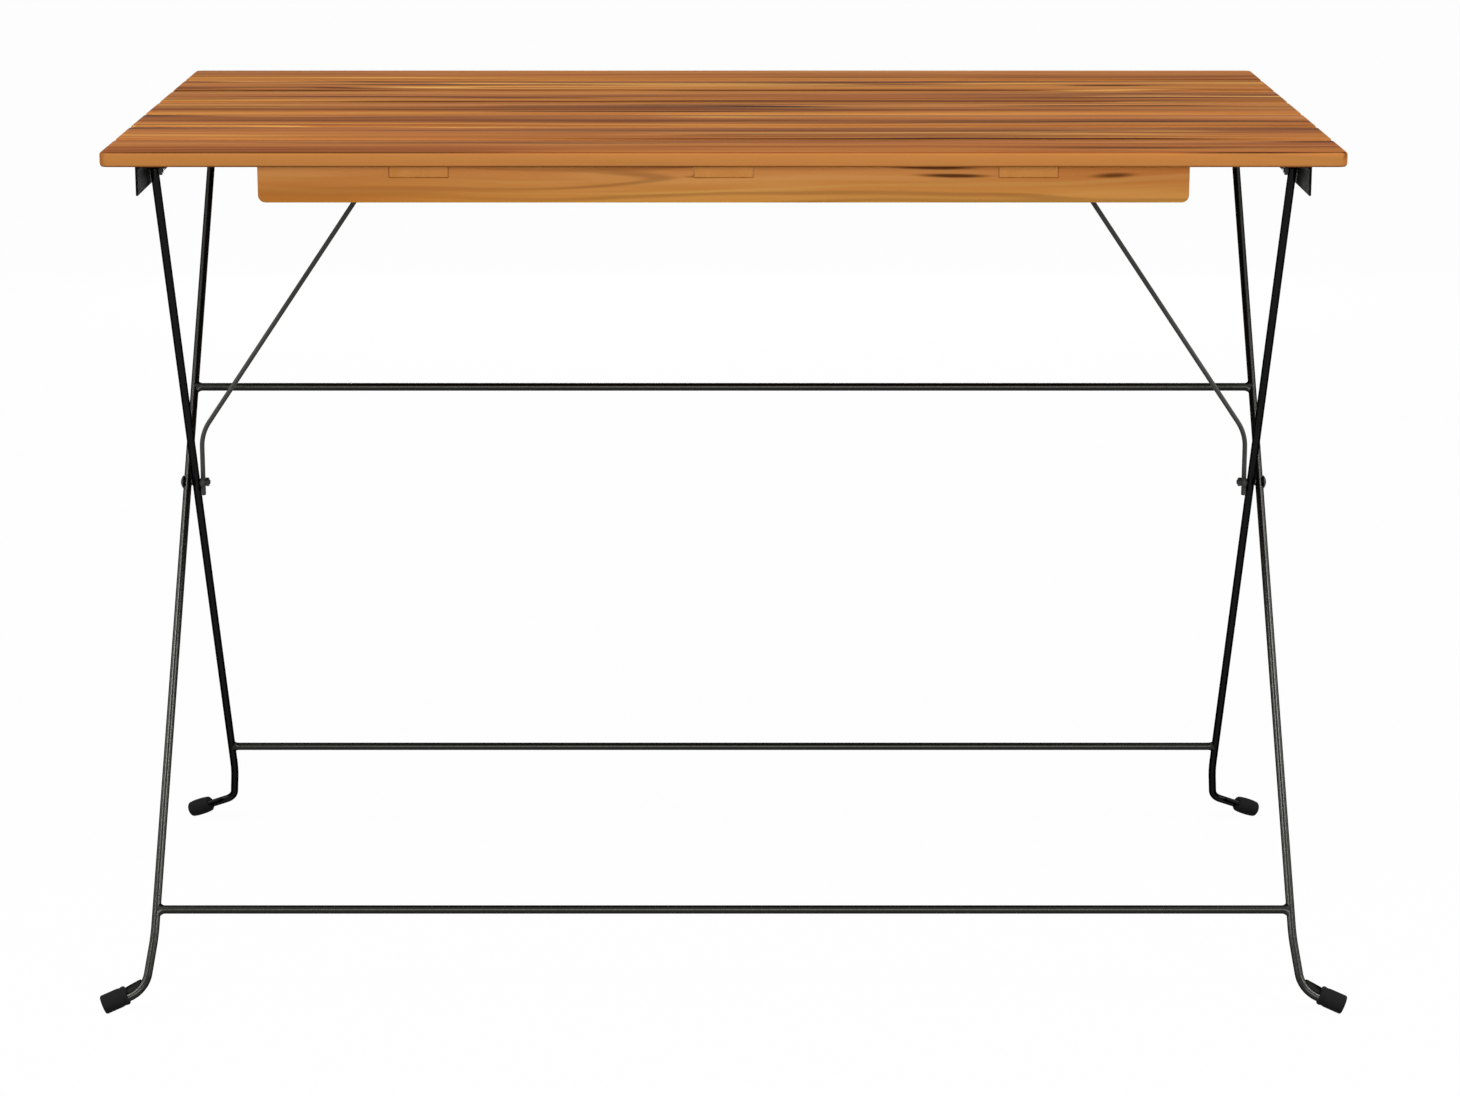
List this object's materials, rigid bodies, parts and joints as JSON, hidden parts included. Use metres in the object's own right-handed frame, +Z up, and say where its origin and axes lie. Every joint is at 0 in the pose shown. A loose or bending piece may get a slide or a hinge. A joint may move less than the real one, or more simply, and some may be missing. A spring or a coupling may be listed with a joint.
{
  "type": "folding picnic table",
  "caption": "Folding slatted wooden table on a crossed steel-rod stand: scissor legs on a side pivot, tilting top, hooked side stays and rubber foot caps.",
  "frame": {"origin": "on the floor, at the middle of the table's overall width and overall footprint depth", "axes": "+Z up, +X to the sitter's right along the slats, -Y to the front where the apron and the outer legs' feet are"},
  "size_m": [1.032, 0.6, 0.71],
  "materials": {
    "oiled_acacia_slat": "oiled acacia slats, satin, warm orange brown with dark streaks",
    "oiled_acacia_batten": "oiled acacia battens and apron, satin, lighter golden brown",
    "powder_coated_steel": "semi-gloss black-grey powder coat on round steel rod",
    "grey_coated_stay_steel": "thin grey-black coat on spring wire",
    "black_rubber": "matt black moulded rubber",
    "blackened_fastener_steel": "blackened steel bolts, nuts, washers and screws"
  },
  "bodies": {
    "outer_frame": {"outer_leg_left": "powder_coated_steel", "outer_leg_right": "powder_coated_steel", "outer_lower_bar": "powder_coated_steel", "outer_upper_bar": "powder_coated_steel", "rest_bar": "powder_coated_steel", "pivot_bolt_left": "blackened_fastener_steel", "pivot_bolt_right": "blackened_fastener_steel", "pivot_nut_left": "blackened_fastener_steel", "pivot_nut_right": "blackened_fastener_steel", "pivot_washers": "blackened_fastener_steel", "front_cap_left": "black_rubber", "front_cap_right": "black_rubber"},
    "inner_frame": {"inner_leg_left": "powder_coated_steel", "inner_leg_right": "powder_coated_steel", "inner_lower_bar": "powder_coated_steel", "rear_cap_left": "black_rubber", "rear_cap_right": "black_rubber"},
    "tabletop": {"slat_1": "oiled_acacia_slat", "slat_2": "oiled_acacia_slat", "slat_3": "oiled_acacia_slat", "slat_4": "oiled_acacia_slat", "slat_5": "oiled_acacia_slat", "slat_6": "oiled_acacia_slat", "slat_7": "oiled_acacia_slat", "batten_left": "oiled_acacia_batten", "batten_centre": "oiled_acacia_batten", "batten_right": "oiled_acacia_batten", "front_apron": "oiled_acacia_batten", "angle_bar_left": "powder_coated_steel", "angle_bar_right": "powder_coated_steel", "batten_screws": "blackened_fastener_steel", "angle_bar_screws": "blackened_fastener_steel", "hinge_bolt_left": "blackened_fastener_steel", "hinge_bolt_right": "blackened_fastener_steel", "hinge_nut_left": "blackened_fastener_steel", "hinge_nut_right": "blackened_fastener_steel", "hinge_washers": "blackened_fastener_steel", "stay_keeper_left": "grey_coated_stay_steel", "stay_keeper_right": "grey_coated_stay_steel", "keeper_screws": "blackened_fastener_steel"},
    "left_stay": {"stay_left": "grey_coated_stay_steel"},
    "right_stay": {"stay_right": "grey_coated_stay_steel"}
  },
  "joints": [
    {"name": "scissor_pivot", "type": "hinge", "parent": "outer_frame", "child": "inner_frame", "pos_m": [0, 0.00094, 0.38128], "axis": [1, 0, 0], "range_deg": [-60, 0]},
    {"name": "top_tilt", "type": "hinge", "parent": "inner_frame", "child": "tabletop", "pos_m": [0, -0.168, 0.685], "axis": [1, 0, 0], "range_deg": [0, 120]},
    {"name": "left_stay_swing", "type": "hinge", "parent": "outer_frame", "child": "left_stay", "pos_m": [0, 0.00094, 0.38128], "axis": [1, 0, 0], "range_deg": [-33, 0]},
    {"name": "right_stay_swing", "type": "hinge", "parent": "outer_frame", "child": "right_stay", "pos_m": [0, 0.00094, 0.38128], "axis": [1, 0, 0], "range_deg": [-33, 0]}
  ],
  "couplings": [
    {"joint": "top_tilt", "follows": "scissor_pivot", "ratio": -2},
    {"joint": "left_stay_swing", "follows": "scissor_pivot", "ratio": 0.55},
    {"joint": "right_stay_swing", "follows": "scissor_pivot", "ratio": 0.55}
  ]
}
